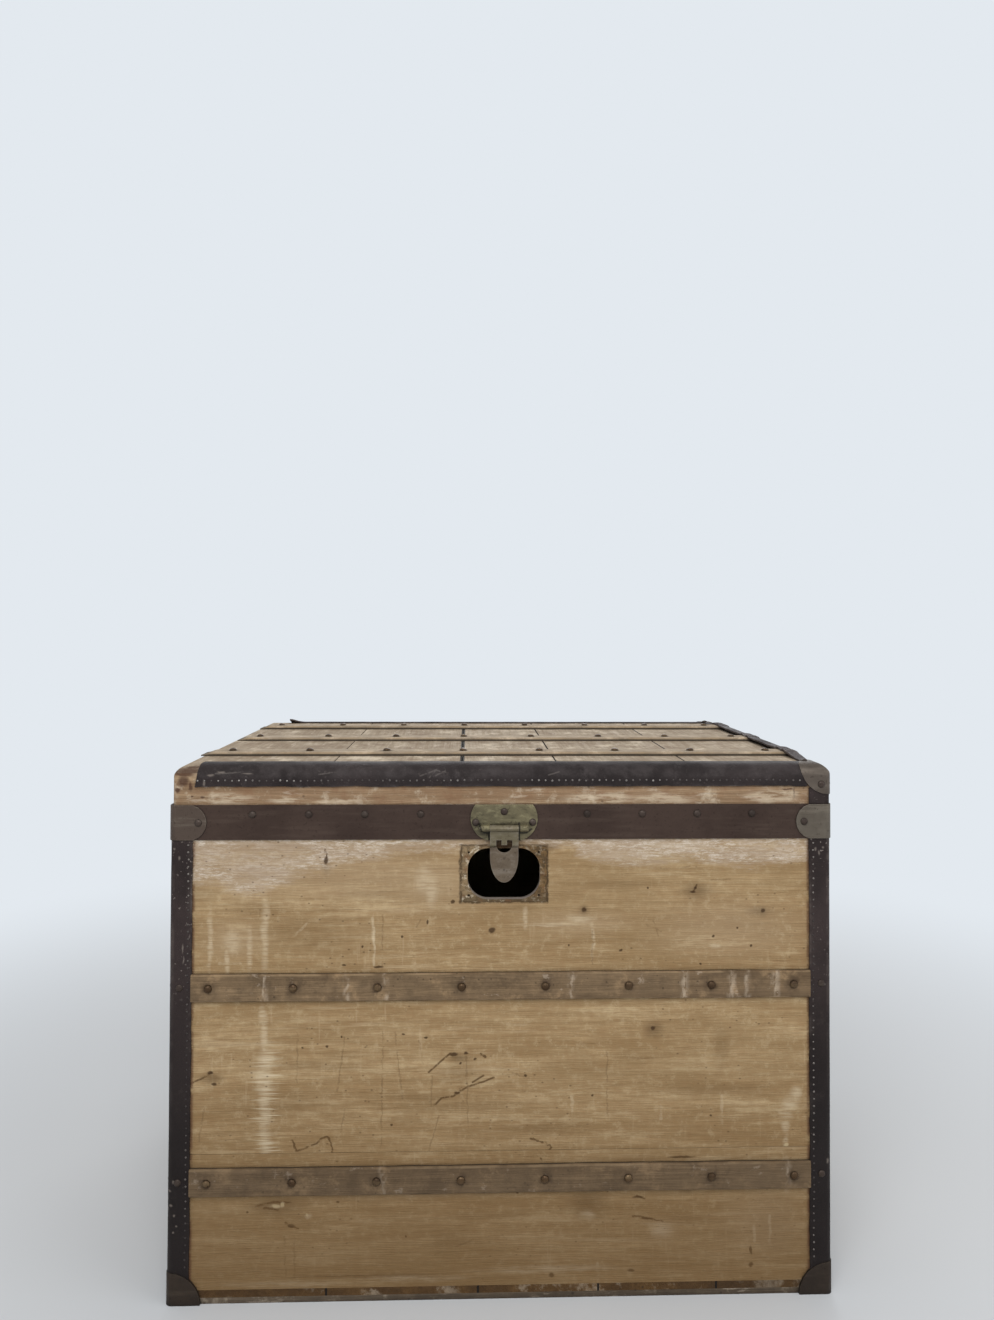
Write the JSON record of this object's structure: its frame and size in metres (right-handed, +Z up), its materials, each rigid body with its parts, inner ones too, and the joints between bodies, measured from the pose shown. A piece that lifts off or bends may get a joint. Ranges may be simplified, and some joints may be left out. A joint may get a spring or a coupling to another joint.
{
  "type": "steamer trunk",
  "caption": "Flat-topped wooden travel trunk with nailed slats, bound edges, pressed corners, a hinged lid, a hanging hasp over an empty lock hole and drop handles.",
  "frame": {"origin": "on the floor under the middle of the trunk", "axes": "+X along the trunk's width to the viewer's right, -Y out of the front, +Z up"},
  "size_m": [0.918, 0.625, 0.7217],
  "materials": {
    "panel_wood": "stripped poplar boards, worn and stained",
    "lid_wood": "weathered bare boards",
    "rail_wood": "bare board with pale residue",
    "slat_wood": "grey-brown slats with pale flecks",
    "edge_fibre": "vulcanised fibre strip, worn",
    "edge_leather": "dark leather, worn along its edge",
    "band_metal": "brown lacquered sheet, rubbed",
    "corner_metal": "olive-brown pressed sheet",
    "hasp_brass": "brassed sheet, dark patina",
    "hasp_steel": "worn bare steel",
    "hinge_iron": "dark iron with rust",
    "handle_iron": "dark forged iron",
    "nail_iron": "domed heads, dark",
    "lining_cloth": "thin aged cotton lining"
  },
  "bodies": {
    "case": {"back_boards": "panel_wood", "back_left_binding": "edge_fibre", "back_lower_slat": "slat_wood", "back_right_binding": "edge_fibre", "back_upper_slat": "slat_wood", "bottom_back_binding": "edge_fibre", "bottom_boards": "panel_wood", "bottom_corner_caps": "corner_metal", "bottom_left_binding": "edge_fibre", "bottom_right_binding": "edge_fibre", "bottom_runners": "slat_wood", "case_hinge_leaves": "hinge_iron", "case_lining": "lining_cloth", "case_nails": "nail_iron", "front_left_binding": "edge_fibre", "front_lower_board": "panel_wood", "front_lower_slat": "slat_wood", "front_middle_board": "panel_wood", "front_right_binding": "edge_fibre", "front_rim_lip": "panel_wood", "front_upper_board": "panel_wood", "front_upper_slat": "slat_wood", "hinge_pins": "hinge_iron", "left_boards": "panel_wood", "left_handle_brackets": "handle_iron", "left_lower_slat": "slat_wood", "left_rim_lip": "panel_wood", "left_upper_slat": "slat_wood", "right_boards": "panel_wood", "right_handle_brackets": "handle_iron", "right_lower_slat": "slat_wood", "right_rim_lip": "panel_wood", "right_upper_slat": "slat_wood"},
    "lid": {"lid_back_band": "band_metal", "lid_back_binding": "edge_fibre", "lid_back_rail": "rail_wood", "lid_back_slat": "slat_wood", "lid_boards": "lid_wood", "lid_corner_bindings": "edge_fibre", "lid_corner_caps": "corner_metal", "lid_front_band": "band_metal", "lid_front_binding": "edge_leather", "lid_front_rail": "rail_wood", "lid_front_slat": "slat_wood", "lid_hinge_leaves": "hinge_iron", "lid_left_band": "band_metal", "lid_left_rail": "rail_wood", "lid_lining": "lining_cloth", "lid_middle_slat": "slat_wood", "lid_nails": "nail_iron", "lid_right_band": "band_metal", "lid_right_binding": "edge_fibre", "lid_right_rail": "rail_wood", "band_corner_brackets": "corner_metal", "hasp_plate": "hasp_brass", "hasp_pin": "hasp_steel"},
    "hasp": {"hasp_strap": "hasp_steel"},
    "left_handle": {"left_handle_bail": "handle_iron"},
    "right_handle": {"right_handle_bail": "handle_iron"}
  },
  "joints": [
    {"name": "lid_hinge", "type": "hinge", "parent": "case", "child": "lid", "pos_m": [0, 0.306, 0.6135], "axis": [-1, 0, 0], "range_deg": [0, 100]},
    {"name": "hasp_hinge", "type": "hinge", "parent": "lid", "child": "hasp", "pos_m": [0, -0.3072, 0.6297], "axis": [-1, 0, 0], "range_deg": [0, 165]},
    {"name": "left_handle_hinge", "type": "hinge", "parent": "case", "child": "left_handle", "pos_m": [-0.452, 0, 0.5523], "axis": [0, 1, 0], "range_deg": [0, 95]},
    {"name": "right_handle_hinge", "type": "hinge", "parent": "case", "child": "right_handle", "pos_m": [0.452, 0, 0.5523], "axis": [0, -1, 0], "range_deg": [0, 95]}
  ]
}
